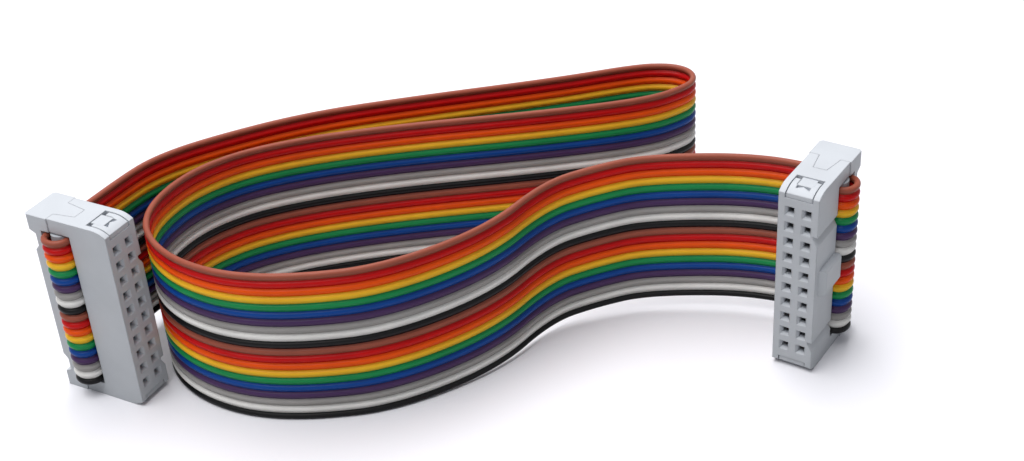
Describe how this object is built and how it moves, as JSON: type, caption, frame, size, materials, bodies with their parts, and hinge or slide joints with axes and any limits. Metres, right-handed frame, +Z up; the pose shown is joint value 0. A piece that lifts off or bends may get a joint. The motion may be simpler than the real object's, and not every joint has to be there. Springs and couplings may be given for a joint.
{
  "type": "ribbon cable",
  "caption": "Flat cable of bonded colour-coded conductors with a keyed insulation-displacement socket and strain relief on each end, standing on edge in loose folds.",
  "frame": {"origin": "centre of the base of the box round the two sockets, on the surface that they stand on", "axes": "+X from the left socket to the right one, +Y from the mating faces' side towards the back loop, +Z up along the sockets"},
  "size_m": [0.1177, 0.0564, 0.03],
  "materials": {
    "insulation_brown": "soft gloss PVC",
    "insulation_red": "soft gloss PVC",
    "insulation_orange": "soft gloss PVC",
    "insulation_yellow": "soft gloss PVC",
    "insulation_green": "soft gloss PVC",
    "insulation_blue": "soft gloss PVC",
    "insulation_violet": "soft gloss PVC",
    "insulation_grey": "soft gloss PVC",
    "insulation_white": "soft gloss PVC",
    "insulation_black": "soft gloss PVC",
    "copper": "bare cut copper",
    "socket_plastic": "fine matte moulded",
    "contact_metal": "tin plated"
  },
  "bodies": {
    "root": {"conductor_01_brown": "insulation_brown", "conductor_02_red": "insulation_red", "conductor_03_orange": "insulation_orange", "conductor_04_yellow": "insulation_yellow", "conductor_05_green": "insulation_green", "conductor_06_blue": "insulation_blue", "conductor_07_violet": "insulation_violet", "conductor_08_grey": "insulation_grey", "conductor_09_white": "insulation_white", "conductor_10_black": "insulation_black", "conductor_11_brown": "insulation_brown", "conductor_12_red": "insulation_red", "conductor_13_orange": "insulation_orange", "conductor_14_yellow": "insulation_yellow", "conductor_15_green": "insulation_green", "conductor_16_blue": "insulation_blue", "conductor_17_violet": "insulation_violet", "conductor_18_grey": "insulation_grey", "conductor_19_white": "insulation_white", "conductor_20_black": "insulation_black", "copper_cores": "copper", "right_housing": "socket_plastic", "right_cover": "socket_plastic", "right_strain_relief": "socket_plastic", "left_housing": "socket_plastic", "left_cover": "socket_plastic", "left_strain_relief": "socket_plastic", "right_contacts_odd": "contact_metal", "right_contacts_even": "contact_metal", "left_contacts_odd": "contact_metal", "left_contacts_even": "contact_metal"}
  },
  "joints": []
}
